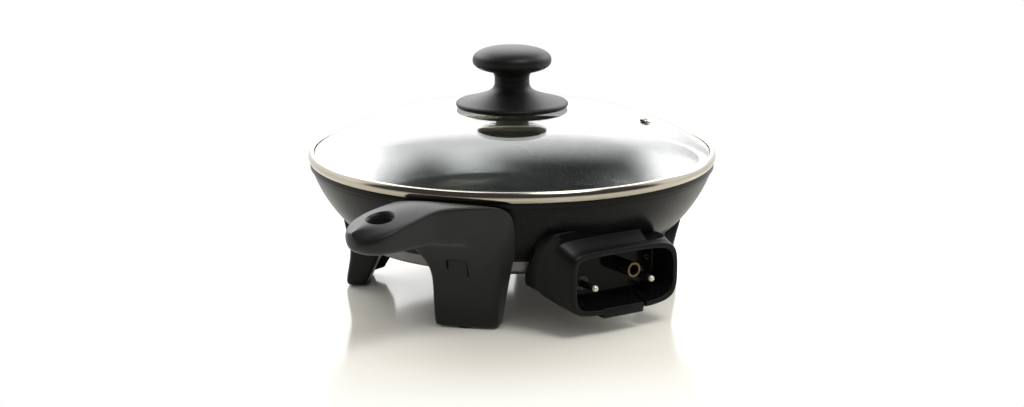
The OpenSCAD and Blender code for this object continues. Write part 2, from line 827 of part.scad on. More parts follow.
module steam_vent() {
    color([0.75, 0.75, 0.75])
    difference() {
        union() {
            along_vent(-seat)
            cylinder(r = vent_flange_r, h = 1);
            along_vent(glass_t + seat + 0.8)
            cylinder(r = vent_tube_r, h = glass_t + 1.2);
            along_vent(glass_t + seat + 0.8)
            cylinder(r = vent_flange_r - 0.4, h = 0.8);
        }
        along_vent(glass_t + 6)
        cylinder(r = vent_bore_r, h = 20);
    }
}

// Knob
module knob_skirt() {
    low = glass_z(guard_r) + guard_gap;
    edge = low + guard_edge;
    color([0.1, 0.1, 0.1])
    rotate_extrude()
    polygon(concat(
        [[knob_screw_r + play, guard_z], [gasket_r, guard_z]],
        [[gasket_r + 1, guard_z + 2.5], [guard_r - 7, guard_z + 1.2], [guard_r - 3.6, low]],
        bend([guard_r - 2.4, low], [guard_r, low], [guard_r, low + guard_edge * 0.55], 4),
        bend([guard_r, low + guard_edge * 0.65], [guard_r - 0.1, edge - 0.2], [guard_r - 2.6, edge + 0.3], 4),
        bend([guard_r - 4, edge + 0.6], [neck_r + 12, guard_z + guard_h * 0.29],
             [neck_r + 6, guard_z + guard_h * 0.41], 5),
        bend([neck_r + 5.2, guard_z + guard_h * 0.43], [neck_r + 0.3, guard_z + guard_h * 0.53],
             [neck_r, guard_z + guard_h * 0.76], 6),
        [[neck_r, cap_z], [knob_screw_r + play, cap_z]]));
}

// Point of the cap's outline, rounded like an ellipse with slightly full corners
function cap_point(a, h) =
    [cap_r * pow(cos(a), 0.91), cap_z + cap_h * 0.577 + h * pow(sin(a), 0.91)];

module knob_cap() {
    color([0.1, 0.1, 0.1])
    difference() {
        rotate_extrude()
        polygon(concat(
            [[0, cap_z], [neck_r, cap_z], [neck_r, cap_z + neck_h]],
            [for (a = [60 : -6 : 6]) cap_point(a, -cap_h * 0.311)],
            [for (a = [0 : 6 : 84]) cap_point(a, cap_h * 0.423)],
            [[0, cap_z + cap_h]]));
        translate([0, 0, cap_z - 1])
        cylinder(r = insert_r + seat, h = insert_h + 1 + seat);
    }
}

module knob_insert() {
    color([0.75, 0.6, 0.3])
    translate([0, 0, cap_z])
    difference() {
        cylinder(r = insert_r, h = insert_h);
        translate([0, 0, -1])
        cylinder(r = knob_screw_r + seat, h = insert_h - 0.5);
    }
}

module ring_plate(z, r, hole, h) {
    translate([0, 0, z])
    difference() {
        cylinder(r = r, h = h);
        translate([0, 0, -1])
        cylinder(r = hole, h = h + 2);
    }
}

lower_gasket_z = glass_under - gasket_t - 0.3;
washer_z = lower_gasket_z - washer_t;

module knob_gasket() {
    color([0.85, 0.85, 0.83])
    ring_plate(gasket_z, gasket_r, knob_screw_r + play, gasket_t);
}

module lower_gasket() {
    color([0.85, 0.85, 0.83])
    ring_plate(lower_gasket_z, gasket_r - 1, knob_screw_r + play, gasket_t);
}

module knob_washer() {
    color([0.7, 0.7, 0.7])
    ring_plate(washer_z, washer_r, knob_screw_r + play, washer_t);
}

module knob_screw() {
    color([0.65, 0.65, 0.66])
    union() {
        translate([0, 0, washer_z - 0.1])
        cylinder(r = knob_screw_r, h = cap_z + insert_h - 3 - washer_z);
        translate([0, 0, washer_z - 2.8])
        cylinder(r = knob_screw_r * 1.9, h = 2.8);
    }
}

pan();
heater_base();
heating_element();
terminal_pin(-1);  // terminal_pin_left
terminal_pin(1);  // terminal_pin_right
insulator(-1);  // insulator_left
insulator(1);  // insulator_right
probe_well();
socket_shroud();
shroud_screws();
left_handle();
right_handle();
rear_left_leg();
front_right_leg();
handle_screws();
tab_screws();
front_left_foot();
front_right_foot();
rear_left_foot();
rear_right_foot();
lid_glass();
lid_band();
steam_vent();
knob_skirt();
knob_cap();
knob_insert();
knob_gasket();
lower_gasket();
knob_washer();
knob_screw();
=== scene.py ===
"""Electric skillet with a lift-off glass lid: the looks of every piece, and a plain studio."""

from contextlib import contextmanager
from functools import wraps
from math import asin, atan, atan2, cos, pi, radians, sin, sqrt, tan
from types import SimpleNamespace

import bmesh
import bpy
from bpy.props import FloatProperty, FloatVectorProperty, PointerProperty
from mathutils import Matrix, Vector


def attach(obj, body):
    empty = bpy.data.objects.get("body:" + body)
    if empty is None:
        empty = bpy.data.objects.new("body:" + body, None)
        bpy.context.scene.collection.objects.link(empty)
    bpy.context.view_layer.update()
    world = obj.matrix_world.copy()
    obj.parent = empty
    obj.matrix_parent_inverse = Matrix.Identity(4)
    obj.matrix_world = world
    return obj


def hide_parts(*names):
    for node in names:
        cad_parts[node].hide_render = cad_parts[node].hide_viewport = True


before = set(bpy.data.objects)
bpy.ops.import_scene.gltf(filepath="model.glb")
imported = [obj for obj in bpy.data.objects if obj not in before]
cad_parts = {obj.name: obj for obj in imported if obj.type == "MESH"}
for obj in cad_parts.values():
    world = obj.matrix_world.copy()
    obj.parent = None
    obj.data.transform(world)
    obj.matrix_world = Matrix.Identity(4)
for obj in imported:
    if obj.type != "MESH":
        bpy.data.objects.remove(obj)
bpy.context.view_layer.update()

bl_info = {
    "name": "Electric Skillet",
    "version": (1, 0, 0),
    "blender": (4, 5, 0),
    "location": "3D View > Sidebar > Skillet",
    "description": "Builds an electric skillet with a glass lid, two swept handles and a hooded socket",
    "category": "Object",
}

MM = 0.001
ROUND_STEPS = 4                             # steps of a small corner round
SOFT_LEVELS, SOFT_ANGLE = 3, 38             # soft mouldings: subdivision, and the sharpest edge left smooth
LAID = Matrix.Rotation(pi / 2, 4, "X")      # lays a piece made along +Z down along -Y
LEFT_TURN, RIGHT_TURN = 5 * pi / 4, pi / 4  # turns of the two handles about the pan axis
ELEMENT_R, TUBE_R, GROOVE_R = 78, 3.2, 3.4  # heating element: its ring, its tube and its groove, in mm
PIN_ROOT_Y, TAIL_Y = -112, -75              # where the pins and the tails of the element begin, in mm
HOOD_UP = 4.5                               # middle of the hood above the pins, in mm
LEG_HALF_W, LEG_DEPTH, LEG_OUT = 20.5, 16, 6  # leg at its foot, and its reach past the base, in mm
VIEW_BACK, VIEW_RIGHT = (0.545, 0.839, 0), (0.839, -0.545, 0)  # ways over the table for the camera


# Properties

def length(name, about, default):
    """Length property whose default is given in millimetres."""
    return FloatProperty(name=name, description=about, default=default * MM, unit="LENGTH", precision=4)


def colour(name, about, default):
    """Colour property."""
    return FloatVectorProperty(name=name, description=about, default=default, subtype="COLOR", min=0, max=1)


class SkilletSizes(bpy.types.PropertyGroup):
    """Sizes of the skillet that a user would change"""

    rim_r: length("Rim radius", "Outer radius of the pan at its rim", 143)
    rim_z: length("Rim height", "Height of the pan rim above the table", 93)
    base_r: length("Base radius", "Radius of the base ring", 112)
    wall_foot: length("Wall foot", "Height where the curved wall begins", 46)
    ring_z: length("Ring height", "Height of the underside of the base ring", 38)
    wall_curve: length("Wall curve", "Radius of the outward curve of the wall", 95)
    wall_t: length("Wall thickness", "Thickness of the wall", 3.2)
    floor_z: length("Floor height", "Height of the cooking floor", 49.5)
    pin_z: length("Pin height", "Height of the terminal pins and the element", 31.6)
    pin_x: length("Pin place", "Distance from the axis to each pin", 23)
    dome_h: length("Dome height", "Rise of the glass from its edge to its top", 32.2)
    glass_t: length("Glass thickness", "Thickness of the glass", 3.5)
    guard_r: length("Knob skirt radius", "Radius of the knob skirt", 39.8)
    cap_r: length("Knob cap radius", "Radius of the knob cap", 27.8)
    handle_len: length("Handle length", "Length of the handle beyond its root", 62)
    handle_half_w: length("Handle half width", "Half width of the handle", 20)
    handle_droop: length("Handle droop", "Droop of the handle at its tip", 15.5)
    handle_sweep: FloatProperty(name="Handle sweep", description="Sweep of the handle away from its leg",
                                default=radians(35), subtype="ANGLE")
    plain_turn: FloatProperty(name="Plain leg turn", description="Turn of the plain legs about the pan axis",
                              default=radians(142), subtype="ANGLE")


class SkilletColours(bpy.types.PropertyGroup):
    """Colours of the skillet's finishes"""

    coating: colour("Coating", "Non-stick coating of the pan", (0.004, 0.004, 0.004))
    casting: colour("Casting", "Bare cast metal of the heater base", (0.24, 0.24, 0.24))
    phenolic: colour("Phenolic", "Handles, legs and knob", (0.005, 0.005, 0.005))
    hood: colour("Hood", "Socket shroud", (0.004, 0.004, 0.004))
    steel: colour("Steel", "Lid band and vent", (0.50, 0.46, 0.385))
    plating: colour("Plating", "Terminal pins", (0.86, 0.80, 0.68))
    brass: colour("Brass", "Probe well and knob insert", (0.20, 0.145, 0.08))
    glass: colour("Glass", "Lid glass", (0.96, 0.99, 0.975))
    floor: colour("Floor", "Table top", (0.93, 0.905, 0.81))


# Modelling helpers

def clear_selection():
    """Leave edit mode with nothing selected."""
    if bpy.context.mode != "OBJECT":
        bpy.ops.object.mode_set(mode="OBJECT")
    bpy.ops.object.select_all(action="DESELECT")


def pick(piece):
    """Select one piece and make it active."""
    clear_selection()
    piece.select_set(True)
    bpy.context.view_layer.objects.active = piece


@contextmanager
def editing():
    """Edit mode with all vertices selected, and object mode again after it."""
    bpy.ops.object.mode_set(mode="EDIT")
    bpy.ops.mesh.select_mode(type="VERT")
    bpy.ops.mesh.select_all(action="SELECT")
    yield
    bpy.ops.object.mode_set(mode="OBJECT")


def fresh(name, add, **settings):
    """Object that an operator adds, under its name."""
    clear_selection()
    add(**settings)
    bpy.context.object.name = name
    return bpy.context.object


def between(a, b, f):
    """Value or point at a share f of the way from a to b."""
    return a + (b - a) * f


def bow(p, k, q, n):
    """Points of a bend from p to q that is drawn towards k."""
    p, k, q = Vector(p), Vector(k), Vector(q)
    return [tuple(between(between(p, k, i / n), between(k, q, i / n), i / n)) for i in range(n + 1)]


def round_arc(p, q, r, n):
    """Points of a round arc from p to q that bulges to the right of the way from p to q."""
    p, q = Vector(p), Vector(q)
    way = q - p
    half = way.length / 2
    middle = (p + q) / 2 + Vector((-way.y, way.x)).normalized() * sqrt(r * r - half * half)
    first = atan2(p.y - middle.y, p.x - middle.x)
    turn = 2 * asin(half / r)
    return [(middle.x + r * cos(first + turn * i / n), middle.y + r * sin(first + turn * i / n))
            for i in range(n + 1)]


def rounded(outline):
    """Outline whose corners (r, z, round) get a round of their own radius."""
    points = []
    count = len(outline)
    for i, corner in enumerate(outline):
        here = Vector(corner[:2])
        if len(corner) < 3:
            points.append(here)
            continue
        before = (Vector(outline[i - 1][:2]) - here).normalized()
        after = (Vector(outline[(i + 1) % count][:2]) - here).normalized()
        half = before.angle(after) / 2
        middle = here + (before + after).normalized() * corner[2] / sin(half)
        start = here + before * corner[2] / tan(half) - middle
        end = here + after * corner[2] / tan(half) - middle
        for k in range(ROUND_STEPS + 1):
            points.append(middle + start.normalized().slerp(end.normalized(), k / ROUND_STEPS) * corner[2])
    return points


def turned(name, outline, steps=128):
    """Piece spun about the axis from an outline in millimetres, closed if it starts off the axis."""
    points = [Vector((p[0], 0, p[1])) * MM for p in rounded(outline)]
    if outline[0][0] > 0:
        points.append(points[0])
    piece = fresh(name, bpy.ops.mesh.primitive_plane_add, size=0.01)
    with editing():
        bpy.ops.mesh.merge(type="CENTER")
        bpy.ops.mesh.select_all(action="SELECT")
        bpy.ops.transform.translate(value=points[0])
        for here, there in zip(points, points[1:]):
            bpy.ops.mesh.extrude_region_move(TRANSFORM_OT_translate={"value": there - here})
        bpy.ops.mesh.select_all(action="SELECT")
        bpy.ops.mesh.spin(steps=steps, angle=2 * pi, center=(0, 0, 0), axis=(0, 0, 1))
        bpy.ops.mesh.select_all(action="SELECT")
        bpy.ops.mesh.remove_doubles(threshold=2e-6)
        bpy.ops.mesh.normals_make_consistent()
    return piece


def drawn(name, rings):
    """Piece made by drawing a ring of points, in millimetres, out through the rings after it."""
    count = len(rings[0])
    piece = fresh(name, bpy.ops.mesh.primitive_circle_add, vertices=count, radius=0.01, fill_type="NGON")
    with editing():
        for k, ring in enumerate(rings):
            if k:
                bpy.ops.mesh.extrude_region_move(TRANSFORM_OT_translate={"value": (0, 0, 0)})
            edit = bmesh.from_edit_mesh(piece.data)
            edit.verts.ensure_lookup_table()
            for point, vertex in zip(ring, edit.verts[k * count:(k + 1) * count]):
                vertex.co = Vector(point) * MM
            bmesh.update_edit_mesh(piece.data)
        bpy.ops.mesh.select_all(action="SELECT")
        bpy.ops.mesh.normals_make_consistent()
    return piece


def block(name, low, high, edge=0):
    """Box between two corners, in millimetres, with rounded edges."""
    low, high = Vector(low) * MM, Vector(high) * MM
    piece = fresh(name, bpy.ops.mesh.primitive_cube_add, size=1, location=(low + high) / 2)
    piece.scale = high - low
    bpy.ops.object.transform_apply()
    if edge:
        with editing():
            bpy.ops.mesh.bevel(offset=edge * MM, segments=3, affect="EDGES")
    return piece


def finish_modifier(piece, kind, **settings):
    """Add a modifier and apply it."""
    pick(piece)
    modifier = piece.modifiers.new(kind.title(), kind)
    for key, value in settings.items():
        setattr(modifier, key, value)
    bpy.ops.object.modifier_apply(modifier=modifier.name)


def rounder(piece):
    """Round a coarse piece off by subdivision."""
    finish_modifier(piece, "SUBSURF", levels=SOFT_LEVELS, render_levels=SOFT_LEVELS)


def carve(piece, tool, how="DIFFERENCE"):
    """Cut the tool out of the piece, or add it, and throw the tool away."""
    finish_modifier(piece, "BOOLEAN", operation=how, object=tool, solver="EXACT")
    bpy.data.objects.remove(tool)


def place(piece, turn=None, shift=(0, 0, 0)):
    """Turn and shift a finished piece and put that into its mesh."""
    pick(piece)
    piece.matrix_world = Matrix.Translation(Vector(shift) * MM) @ (turn or Matrix.Identity(4))
    bpy.ops.object.transform_apply()


def twin(piece, name, turn=None, shift=(0, 0, 0)):
    """Copy of a piece with its own mesh."""
    pick(piece)
    bpy.ops.object.duplicate()
    copy = bpy.context.object
    copy.name = name
    place(copy, turn, shift)
    return copy


def joined(pieces):
    """First of the pieces, with the others joined to it."""
    pick(pieces[0])
    for piece in pieces[1:]:
        piece.select_set(True)
    bpy.ops.object.join()
    return pieces[0]


def smooth(piece, angle=35):
    """Shade a piece smooth except at edges sharper than an angle."""
    pick(piece)
    bpy.ops.object.shade_smooth_by_angle(angle=radians(angle))


def hand_over(piece, body, node, slot, *finishes):
    """Give a piece its finishes and its body, and hide the node that it stands for; the slot is not used."""
    piece.data.materials.clear()
    for finish in finishes:
        piece.data.materials.append(finish)
    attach(piece, body)
    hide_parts(node)


def second_finish(piece, belongs):
    """Give the second finish to the faces that belong to it by their middle, in millimetres, and normal."""
    for face in piece.data.polygons:
        if belongs(face.center / MM, face.normal):
            face.material_index = 1


def facing(spot, aim):
    """Turn that points a lamp or a camera from its spot to an aim."""
    return (Vector(aim) - Vector(spot)).to_track_quat("-Z", "Y").to_euler()


def about_z(angle):
    """Turn about the pan axis."""
    return Matrix.Rotation(angle, 4, "Z")


# Finishes

class Tree:
    """Node tree of a finish, a lamp or the surroundings, with short calls for its nodes."""

    def __init__(self, owner):
        owner.use_nodes = True
        self.nodes, self.links = owner.node_tree.nodes, owner.node_tree.links

    def feed(self, value, socket):
        """Link a socket or set its value; None leaves it as it is."""
        if isinstance(value, bpy.types.NodeSocket):
            self.links.new(value, socket)
        elif value is not None:
            socket.default_value = value

    def add(self, kind, *values, **settings):
        """Add a node, feed its inputs in order and give its first output."""
        node = self.nodes.new(kind)
        for key, value in settings.items():
            setattr(node, key, value)
        for value, socket in zip(values, [i for i in node.inputs if i.enabled]):
            self.feed(value, socket)
        return next((o for o in node.outputs if o.enabled), None)

    def source(self, kind, output):
        """Named output of a node that needs no input."""
        return self.nodes.new(kind).outputs[output]

    def math(self, kind, a, b=None):
        """One step of arithmetic."""
        return self.add("ShaderNodeMath", a, b, operation=kind)

    def vector(self, kind, a, b=None):
        """Length of a vector, or its distance from another or product with it."""
        return self.add("ShaderNodeVectorMath", a, b, operation=kind)

    def ramp(self, value, start, end, low, high, how="SMOOTHSTEP"):
        """Value that goes from low at the start to high at the end."""
        return self.add("ShaderNodeMapRange", value, start, end, low, high, interpolation_type=how)


class Finish(Tree):
    """Finish that runs on the coordinates of the object."""

    def __init__(self, owner):
        super().__init__(owner)
        self.shader = self.nodes["Principled BSDF"]
        self.object = self.source("ShaderNodeTexCoord", "Object")

    def set(self, **inputs):
        """Feed inputs of the main shader."""
        for key, value in inputs.items():
            self.feed(value, self.shader.inputs[key.replace("_", " ")])

    def noise(self, scale, detail, vector=None):
        """Value of a noise."""
        return self.add("ShaderNodeTexNoise", vector or self.object, scale, detail)

    def spread(self, value, low, high, start=0.3, end=0.7):
        """Even change from low at the start to high at the end."""
        return self.ramp(value, start, end, low, high, "LINEAR")

    def blend(self, factor, a, b):
        """Mix of two colours."""
        return self.add("ShaderNodeMix", factor, a, b, data_type="RGBA")

    def bump(self, height, strength, depth):
        """Let a height show in the shading."""
        self.set(Normal=self.add("ShaderNodeBump", strength, depth, None, height))

    def cover(self, factor, other):
        """Show another shader in place of the main one where the factor is 1."""
        mix = self.add("ShaderNodeMixShader", factor, self.shader.outputs["BSDF"], other)
        self.feed(mix, self.nodes["Material Output"].inputs["Surface"])


def made_once(make):
    """Make a finish once under its name, and hand the same one out after that."""
    @wraps(make)
    def hand_out(name, *values, **settings):
        if name not in bpy.data.materials:
            make(Finish(bpy.data.materials.new(name)), *values, **settings)
        return bpy.data.materials[name]
    return hand_out


def tint(base, factor):
    """Colour made lighter or darker by a factor, with its alpha."""
    return (*(min(c * factor, 1) for c in base[:3]), 1)


@made_once
def moulded_plastic(finish, base, smoothness, grain=0.25, shine=0.32, sheen=0.0):
    """Moulded phenolic: near black, with a fine matt grain and slightly uneven gloss."""
    patches = finish.noise(22, 3)
    finish.set(Base_Color=finish.blend(patches, tint(base, 0.8), tint(base, 1.25)),
               Roughness=finish.spread(patches, smoothness - 0.03, smoothness + 0.04),
               Specular_IOR_Level=shine, Sheen_Weight=sheen)
    finish.bump(finish.noise(2600, 2), grain, 0.00008)


@made_once
def coating_finish(finish, base, inside):
    """Non-stick coating: dark, satin, with fine bright flecks, more of them inside the pan."""
    cells = finish.add("ShaderNodeTexVoronoi", finish.object, 1500 if inside else 2200).node
    shade = finish.add("ShaderNodeSeparateColor", cells.outputs["Color"])
    flecks = finish.spread(shade, 0.0, 1.0, 0.90 if inside else 0.96, 1.0)
    fleck_colour = (0.07, 0.075, 0.072, 1) if inside else (0.03, 0.03, 0.03, 1)
    clouds = finish.noise(14, 4)
    body = finish.blend(clouds, tint(base, 0.85), tint(base, 1.2))
    finish.set(Base_Color=finish.blend(flecks, body, fleck_colour),
               Roughness=finish.spread(clouds, *((0.24, 0.32) if inside else (0.27, 0.35))),
               Specular_IOR_Level=0.9 if inside else 0.14)
    finish.bump(finish.noise(900 if inside else 1500, 3), 0.35 if inside else 0.2, 0.00012)


def round_lines(finish):
    """Value that runs in fine lines round the pan axis, as a turned or brushed ring shows."""
    x, y, z = finish.add("ShaderNodeSeparateXYZ", finish.object).node.outputs
    far = finish.vector("LENGTH", finish.add("ShaderNodeCombineXYZ", x, y))
    return finish.noise(1800, 2, finish.add("ShaderNodeCombineXYZ", far, None, z))


@made_once
def metal_finish(finish, base, low, high, lines=True, metal=1.0):
    """Bare metal with fine lines from its making and slightly uneven gloss."""
    grain = round_lines(finish) if lines else finish.noise(700, 3)
    smudge = finish.noise(35, 3)
    finish.set(Base_Color=finish.blend(smudge, tint(base, 0.92), tint(base, 1.04)), Metallic=metal,
               Roughness=finish.spread(grain, low, high))
    finish.bump(grain, 0.06, 0.00005)


@made_once
def plain_finish(finish, base, smoothness, grain_scale, subsurface=0.0):
    """Rubber, silicone or ceramic: even colour with a fine grain."""
    grain = finish.noise(grain_scale, 3)
    finish.set(Base_Color=finish.blend(grain, tint(base, 0.9), tint(base, 1.06)),
               Roughness=finish.spread(grain, smoothness - 0.06, smoothness + 0.06),
               Subsurface_Weight=subsurface)
    finish.bump(grain, 0.3, 0.0001)


@made_once
def glass_finish(finish, base):
    """Clear tempered glass that lets light through to what is under it."""
    finish.set(Base_Color=tint(base, 1), Roughness=0.0, IOR=1.5, Transmission_Weight=1.0)
    finish.bump(finish.noise(9, 1), 0.05, 0.0004)
    clear = finish.add("ShaderNodeBsdfTransparent", (0.88, 0.93, 0.91, 1))
    finish.cover(finish.source("ShaderNodeLightPath", "Is Shadow Ray"), clear)


@made_once
def table_finish(finish, base):
    """Pale glossy table top that fades to white away from the skillet."""
    faint = finish.noise(6, 2)
    finish.set(Base_Color=finish.blend(faint, tint(base, 0.99), tint(base, 1.01)), Roughness=0.12,
               Specular_IOR_Level=0.25)
    fade = finish.spread(finish.vector("LENGTH", finish.object), 0.0, 1.0, 0.19, 0.36)
    behind = finish.vector("DOT_PRODUCT", finish.object, VIEW_BACK)
    mirrored = finish.math("MULTIPLY", fade, finish.spread(behind, 0.0, 1.0, -0.2, 0.3))
    eye = finish.add("ShaderNodeMix", finish.source("ShaderNodeLightPath", "Is Camera Ray"), mirrored, fade)
    seen = finish.add("ShaderNodeMix", finish.source("ShaderNodeLightPath", "Is Diffuse Ray"), eye, 0.0)
    finish.cover(seen, finish.add("ShaderNodeEmission", (1, 1, 1, 1), 1.0))


def sizes():
    """Sizes in use: lengths in millimetres, angles in radians."""
    group = bpy.context.scene.skillet_sizes
    units = {item.identifier: MM if item.unit == "LENGTH" else 1
             for item in group.bl_rna.properties if item.type == "FLOAT"}
    return SimpleNamespace(**{key: getattr(group, key) / unit for key, unit in units.items()})


def colours():
    """Colours in use."""
    return bpy.context.scene.skillet_colours


def screw_steel():
    """Finish of the plain screws and the washer."""
    return metal_finish("zinc_screw_steel", (0.34, 0.34, 0.35), 0.28, 0.42, lines=False)


def hand_over_pair(piece, other_name, turns, nodes):
    """Hand over a black moulding and its twin, each at its own turn about the pan axis."""
    smooth(piece, SOFT_ANGLE)
    other = twin(piece, other_name, about_z(turns[1]))
    place(piece, about_z(turns[0]))
    satin = moulded_plastic("satin_phenolic", colours().phenolic, 0.42, shine=0.36, sheen=0.12)
    for item, node in zip((piece, other), nodes):
        hand_over(item, "base", node, "handle_plastic", satin)


# Shapes that more than one piece needs, in millimetres

def wall_arc(gap):
    """Outward curve of the pan wall, from its foot up to the rim, moved out by a gap."""
    s = sizes()
    return round_arc((s.base_r + gap, s.wall_foot - gap), (s.rim_r + gap, s.rim_z), s.wall_curve, 36)


def pan_space():
    """Room that the pan and the lid take, with a little play, cut from what is fixed to the pan."""
    s = sizes()
    gap = 0.3
    rim, top, base, ring = s.rim_r, s.rim_z, s.base_r, s.ring_z
    return turned("pan_space", [(0, ring), (base + gap, ring)] + wall_arc(gap)
                  + [(rim + gap, top - 2), (rim + 2, top - 1), (rim + 2, top + 40), (0, top + 40)])


def glass_at(r):
    """Height of the upper face of the glass at a distance from the axis."""
    s = sizes()
    return s.rim_z + 5 + s.dome_h * (1 - (r / (s.rim_r - 1)) ** 3)


def corner_ring(corners, rounds, crown=0.0):
    """Ring of sixteen points: three round each corner and one between, with the first side crowned."""
    corners = [Vector(c) for c in corners]
    ring = []
    for k, here in enumerate(corners):
        before, after = corners[k - 1], corners[(k + 1) % 4]
        share = rounds[k]
        ring.append(between(here, before, share))
        ring.append(here + (before - here) * share * 0.25 + (after - here) * share * 0.25)
        ring.append(between(here, after, share))
        ring.append((here + after) / 2 + Vector((0, 0, crown * 1.5 if k == 0 else 0)))
    return ring


def along_handle(t):
    """Middle of the handle at a distance t from its root, and the way across it."""
    s = sizes()
    way = Vector((cos(s.handle_sweep), -sin(s.handle_sweep)))
    return Vector((s.rim_r + 4, -26)) + t * way, Vector((-way.y, way.x))


def handle_ring(t, half, tip):
    """Ring round the handle at a distance t from its root; tip goes from 0 to 1 round its end."""
    s = sizes()
    f = t / s.handle_len
    middle, across = along_handle(t)
    high = s.rim_z - s.handle_droop * 0.6 * f ** 2 + 0.2 * tip ** 4
    crease = s.rim_z + 1.9 - s.handle_droop * 0.97 * f - 1.6 * tip ** 4
    low = s.rim_z - 24.5 - 1.5 * f + 6 * tip ** 4
    upper, under = half * across, 0.86 * half * across
    corners = [(*(middle - upper), high), (*(middle + upper), crease),
               (*(middle + under), low), (*(middle - under), low)]
    return corner_ring(corners, [between(k, 0.42, tip) for k in (0.16, 0.07, 0.2, 0.2)], 1.6)


def handle_rings():
    """Rings of the handle from its tip to its root."""
    s = sizes()
    half = s.handle_half_w
    straight = s.handle_len - half
    ends = [radians(a) for a in (78, 64, 48, 30, 12)]
    return [handle_ring(straight + half * sin(a), half * cos(a), sin(a)) for a in ends] + [
        handle_ring(t, half + 2 * (straight - t) / straight, 0) for t in (35, 27, 17, 6)]


def leg_stations():
    """Corners of the shoulder and the leg below it: inner left, inner right, outer right, outer left."""
    s = sizes()
    r, b, z, k = s.rim_r, s.base_r, s.rim_z, s.ring_z
    w, x, t = LEG_HALF_W, b + LEG_OUT, LEG_DEPTH
    return [
        [(r - 5, -50, z - 3.5), (r + 13, 5, z + 1), (r + 12, -6, z - 27), (r - 2, -46, z - 27)],
        [(r - 7, -50, z - 5), (r + 6, 21, z + 0.5), (r + 1, 1, z - 28.5), (r - 5, -44, z - 28.5)],
        [(r - 8, -49, z - 8), (r + 3, 31, z - 1), (r - 6, 6, z - 32), (r - 9, -42, z - 32)],
        [(r - 12, -48, z - 12), (r - 3, 34, z - 8), (b + 22, 9, z - 36), (b + 19, -39, z - 36)],
        [(r - 19, -44, z - 24), (r - 13, 33, z - 22), (b + 18, 11, z - 41), (b + 16, -36, z - 41)],
        [(b + 5, -38, k + 17), (b + 7, 30, k + 17), (b + 14, 13, k + 10), (b + 13, -33, k + 10)],
        [(b - 4, -30, k + 5), (b - 4, 25, k + 5), (b + 8, 14, k), (b + 8, -29, k)],
        [(x - t + 1, -w - 9, 20), (x - t + 1, w - 1, 20), (x - 1, w - 6, 19), (x - 1, -w - 9, 19)],
        [(x - t, -w - 8, 5), (x - t, w - 4, 5), (x, w - 5, 5), (x, -w - 8, 5)],
        [(x - t + 0.6, -w - 7.4, 2), (x - t + 0.6, w - 4.6, 2), (x - 0.6, w - 5.6, 2),
         (x - 0.6, -w - 7.4, 2)],
        [(x - t + 2, -w - 6, 1), (x - t + 2, w - 6, 1), (x - 2, w - 7, 1), (x - 2, -w - 6, 1)],
        [(x - t + 5, -w - 3, 1), (x - t + 5, w - 9, 1), (x - 5, w - 10, 1), (x - 5, -w - 3, 1)]]


def plain_leg_stations():
    """Corners of a plain leg from its top down to the table."""
    s = sizes()
    b, k = s.base_r, s.ring_z
    w, x = LEG_HALF_W, b + LEG_OUT
    stations = (  # distance from the axis, half width and height, on the inner and on the outer side
        (b + 4, 10, k + 21, b + 8, 10, k + 20), (b + 2, w - 3, k + 18, b + 9, w - 5, k + 16),
        (b - 1, w + 2, k + 12, b + 6.5, w, k + 9), (b - 4, w + 4, k + 5, b + 4.5, w + 2, k),
        (89.5, w + 3, 31, b + 2.4, w + 1.5, 29), (94.5, w + 2, 18, x - 2.6, w + 1, 18),
        (x - 16.5, w, 5, x, w, 5), (x - 16, w - 0.6, 2, x - 0.6, w - 0.6, 2),
        (x - 15, w - 2, 1, x - 2, w - 2, 1), (x - 11, w - 5, 1, x - 5, w - 5, 1))
    return [[(r, -half, z), (r, half, z), (far, wide, low), (far, -wide, low)]
            for r, half, z, far, wide, low in stations]


def leg_tab():
    """Tab of a leg under the base ring."""
    s = sizes()
    b, k = s.base_r, s.ring_z
    return block("tab", (b - 14, -15, k - 8), (b + 2, 15, k), 1.5)


# Operators

class SKILLET_OT_pan(bpy.types.Operator):
    """Coated bowl: curved wall, plain rim strip and rounded floor"""
    bl_idname = "skillet.pan"
    bl_label = "Pan"

    def execute(self, context):
        s = sizes()
        rim, top, base, foot, wall, floor = s.rim_r, s.rim_z, s.base_r, s.wall_foot, s.wall_t, s.floor_z
        under = floor - 5.5
        arc = wall_arc(0)
        outside = [p for p in arc if p[1] < top - 4.6]
        high = [(r - wall, z) for r, z in arc if z > floor + 8.4]
        outline = [(0, under), (base - 16.1, under), (base - 16.1, foot)] + outside + [
            (rim - 1.7, top - 4.4), (rim - 0.2, top - 3.8, 0.5), (rim, top, 0.7), (rim - wall, top, 0.8)]
        outline += list(reversed(high[1:-1]))
        outline += bow(high[0], (base - wall + 1.5, floor), (base - wall - 14, floor), 16) + [(0, floor)]
        pan = turned("pan_body", outline, 192)
        smooth(pan)
        outer = coating_finish("satin_coating", colours().coating, False)
        cooking = coating_finish("speckled_cooking_surface", tint(colours().coating, 4), True)
        hand_over(pan, "base", "pan", "pan_coating", outer, cooking)
        second_finish(pan, lambda middle, normal: middle.z > floor - 0.1 and normal.z > 0.05
                      and middle.xy.length < rim - wall + 0.5)
        return {"FINISHED"}


